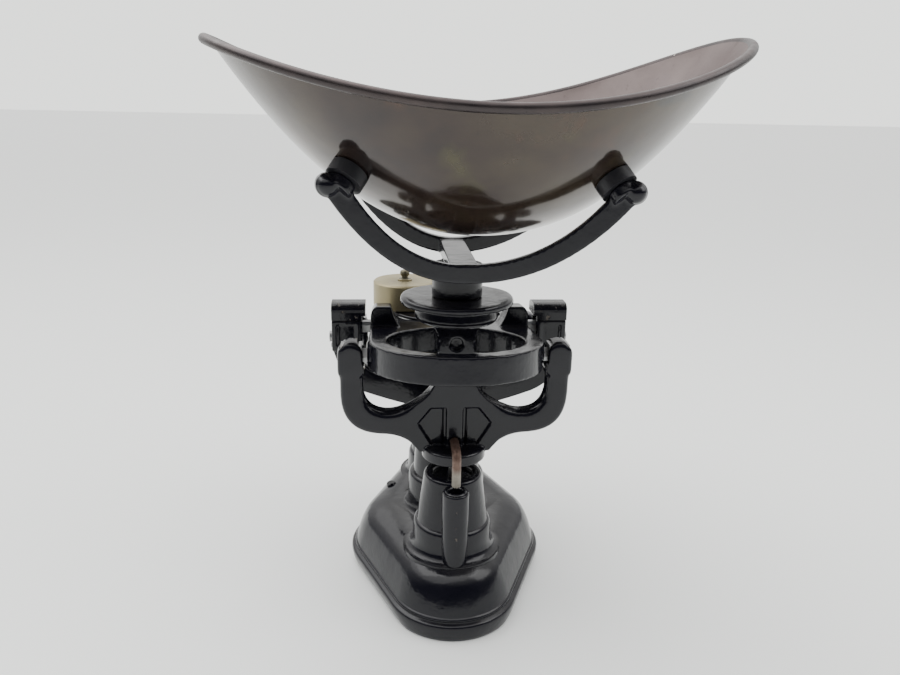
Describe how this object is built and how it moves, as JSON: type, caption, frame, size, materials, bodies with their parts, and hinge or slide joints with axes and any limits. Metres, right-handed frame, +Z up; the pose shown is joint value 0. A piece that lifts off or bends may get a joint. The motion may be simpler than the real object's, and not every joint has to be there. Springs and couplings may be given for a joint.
{
  "type": "counter balance scale",
  "caption": "Counter balance scale with an oval scoop pan on a swivelling cradle, a beam on knife edges, a check bar in a hollow iron base and a brass weight.",
  "frame": {"origin": "on the table the base stands on, straight below the fulcrum knife edge", "axes": "+Z up, +X along the knife edges to the right as seen from the goods end, -Y towards the goods end with the pan, +Y towards the weights end"},
  "size_m": [0.341, 0.3053, 0.4091],
  "materials": {
    "black_iron": "gloss black enamel over cast iron, worn and dusty in the corners",
    "blackened_steel": "black enamel, brushed over with the castings",
    "bare_steel": "ground steel, slightly tarnished",
    "rusty_steel": "bare steel rod, rusty brown at the bend and dull grey below",
    "patinated_copper": "dark brown patinated copper, glossy outside and duller inside",
    "aged_brass": "dull aged brass with a greenish grey tarnish",
    "lead": "dull grey lead, unseen",
    "black_rubber": "black rubber, slightly shiny"
  },
  "bodies": {
    "base": {"base_casting": "black_iron", "fulcrum_yoke": "black_iron", "yoke_bolts": "blackened_steel", "fulcrum_bearings": "bare_steel", "bearing_caps": "black_iron", "cap_screws": "bare_steel", "stay_pin": "bare_steel"},
    "beam": {"beam_casting": "black_iron", "fulcrum_knives": "bare_steel", "front_end_knives": "bare_steel", "rear_end_knives": "bare_steel"},
    "check_bar": {"check_bar": "black_iron"},
    "goods_carrier": {"front_carrier": "black_iron", "front_horn_bearings": "bare_steel", "front_guide_rod": "rusty_steel", "front_leg": "bare_steel", "front_leg_pin": "bare_steel"},
    "weights_carrier": {"rear_carrier": "black_iron", "rear_horn_bearings": "bare_steel", "rear_guide_rod": "rusty_steel", "rear_leg": "bare_steel", "rear_leg_pin": "bare_steel", "weights_plate": "black_iron", "plate_screws": "blackened_steel", "balance_lead": "lead", "trim_weight": "aged_brass"},
    "cradle": {"pan_cradle": "black_iron", "cradle_spigot": "bare_steel", "cradle_pads": "black_rubber", "pad_studs": "blackened_steel"},
    "pan": {"pan_shell": "patinated_copper", "pan_rim_wire": "patinated_copper"},
    "weight": {"brass_weight": "aged_brass", "weight_knob": "aged_brass"}
  },
  "joints": [
    {"name": "beam_tilt", "type": "hinge", "parent": "base", "child": "beam", "pos_m": [0, 0, 0.194], "axis": [1, 0, 0], "range_deg": [0, 12]},
    {"name": "check_bar_tilt", "type": "hinge", "parent": "base", "child": "check_bar", "pos_m": [0, 0, 0.0275], "axis": [1, 0, 0], "range_deg": [0, 12]},
    {"name": "goods_carrier_knife", "type": "hinge", "parent": "beam", "child": "goods_carrier", "pos_m": [0, -0.06067, 0.20038], "axis": [1, 0, 0], "range_deg": [-12, 0]},
    {"name": "weights_carrier_knife", "type": "hinge", "parent": "beam", "child": "weights_carrier", "pos_m": [0, 0.06067, 0.18762], "axis": [1, 0, 0], "range_deg": [-12, 0]},
    {"name": "cradle_swivel", "type": "hinge", "parent": "goods_carrier", "child": "cradle", "pos_m": [0, -0.06067, 0.245], "axis": [0, 0, 1], "continuous": true},
    {"name": "pan_lift", "type": "slide", "parent": "cradle", "child": "pan", "axis": [0, 0, 1], "range_m": [0, 0.12]},
    {"name": "weight_lift", "type": "slide", "parent": "weights_carrier", "child": "weight", "axis": [0, 0, 1], "range_m": [0, 0.06]}
  ],
  "couplings": [
    {"joint": "check_bar_tilt", "follows": "beam_tilt", "ratio": 1},
    {"joint": "goods_carrier_knife", "follows": "beam_tilt", "ratio": -1},
    {"joint": "weights_carrier_knife", "follows": "beam_tilt", "ratio": -1}
  ]
}
